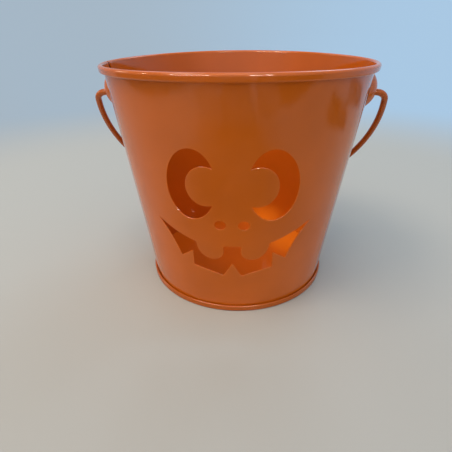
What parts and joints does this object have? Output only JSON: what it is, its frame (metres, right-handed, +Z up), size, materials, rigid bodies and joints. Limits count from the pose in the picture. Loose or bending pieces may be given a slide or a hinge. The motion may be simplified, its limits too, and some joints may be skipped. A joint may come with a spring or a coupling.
{
  "type": "pumpkin candy pail",
  "caption": "Tapered sheet-metal candy pail in orange enamel, with a pumpkin grin punched through its front, a rolled rim and a swinging wire bail.",
  "frame": {"origin": "middle of the foot, on the surface that the pail stands on", "axes": "+Z up along the pail's axis, -Y out of the face, +X through the ear at the viewer's right as the viewer looks at the face"},
  "size_m": [0.187, 0.16, 0.1404],
  "materials": {
    "wall_enamel": "glossy orange enamel",
    "base_enamel": "glossy orange enamel",
    "ear_enamel": "glossy orange enamel",
    "bail_enamel": "glossy orange enamel on wire"
  },
  "bodies": {
    "pail": {"pail_wall": "wall_enamel", "base_pan": "base_enamel", "ear_right": "ear_enamel", "ear_left": "ear_enamel"},
    "bail": {"bail": "bail_enamel"}
  },
  "joints": [
    {"name": "bail_swing", "type": "hinge", "parent": "pail", "child": "bail", "pos_m": [0, 0, 0.1213], "axis": [1, 0, 0], "range_deg": [0, 289.32]}
  ]
}
